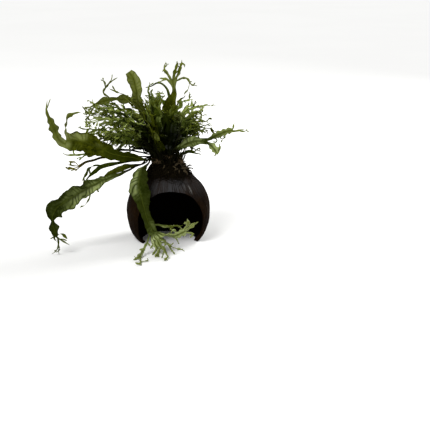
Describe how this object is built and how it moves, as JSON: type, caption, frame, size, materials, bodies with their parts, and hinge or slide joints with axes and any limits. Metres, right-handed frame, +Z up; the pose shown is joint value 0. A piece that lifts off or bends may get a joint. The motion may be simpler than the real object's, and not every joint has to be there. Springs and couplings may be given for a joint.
{
  "type": "java fern on coconut shell",
  "caption": "Java fern with long quilted fronds and crested, antler-like tips, growing from a root mat on a hollow coconut shell with an arched doorway.",
  "frame": {"origin": "on the floor, under the middle of the part's box", "axes": "+Z up; -Y is the front, which the doorway faces; the long hanging fronds reach out to -X"},
  "size_m": [0.2382, 0.21, 0.2241],
  "materials": {
    "coconut": "dark weathered coconut shell",
    "roots": "matted dark roots",
    "rhizome": "brown creeping stem",
    "leaf_green": "deep green leaf",
    "leaf_grey_green": "grey-green quilted leaf with a soft sheen",
    "leaf_olive": "olive leaf",
    "leaf_pale": "pale young leaf",
    "leaf_yellow": "yellowing leaf",
    "leaf_dark": "old dark green leaf"
  },
  "bodies": {
    "root": {"arching_left_frond": "leaf_olive", "blunt_upright_frond": "leaf_olive", "broad_left_frond": "leaf_olive", "coconut_shell": "coconut", "crown_frond_1": "leaf_pale", "crown_frond_2": "leaf_green", "crown_frond_3": "leaf_olive", "crown_frond_4": "leaf_dark", "crown_frond_5": "leaf_green", "crown_frond_6": "leaf_olive", "front_hanging_frond": "leaf_grey_green", "inner_frond_1": "leaf_green", "inner_frond_2": "leaf_olive", "inner_frond_3": "leaf_dark", "inner_frond_4": "leaf_green", "inner_frond_5": "leaf_olive", "lace_left_back": "leaf_pale", "lace_left_high": "leaf_pale", "lace_left_low": "leaf_green", "lace_left_middle": "leaf_pale", "lace_left_under": "leaf_green", "left_frond_1": "leaf_green", "left_frond_2": "leaf_green", "left_frond_3": "leaf_dark", "low_right_frond": "leaf_green", "lower_left_long_frond": "leaf_grey_green", "middle_frond_1": "leaf_olive", "middle_frond_2": "leaf_green", "middle_frond_3": "leaf_pale", "middle_frond_4": "leaf_green", "middle_frond_5": "leaf_pale", "middle_frond_6": "leaf_olive", "middle_frond_7": "leaf_green", "middle_frond_8": "leaf_dark", "olive_companion_frond": "leaf_olive", "outer_frond_1": "leaf_olive", "outer_frond_2": "leaf_pale", "outer_frond_3": "leaf_pale", "outer_frond_4": "leaf_green", "outer_frond_5": "leaf_pale", "outer_frond_6": "leaf_pale", "outer_frond_7": "leaf_green", "rhizome_left": "rhizome", "rhizome_middle": "rhizome", "rhizome_right": "rhizome", "right_frond_1": "leaf_green", "right_frond_2": "leaf_green", "right_middle_lace": "leaf_green", "right_reaching_frond": "leaf_grey_green", "right_upper_lace": "leaf_pale", "root_mat": "roots", "second_lower_left_frond": "leaf_green", "small_left_lace": "leaf_pale", "top_crested_frond": "leaf_olive", "top_left_strand": "leaf_pale", "upright_left_frond": "leaf_green", "upright_middle_frond": "leaf_green", "yellow_star_frond": "leaf_yellow"}
  },
  "joints": []
}
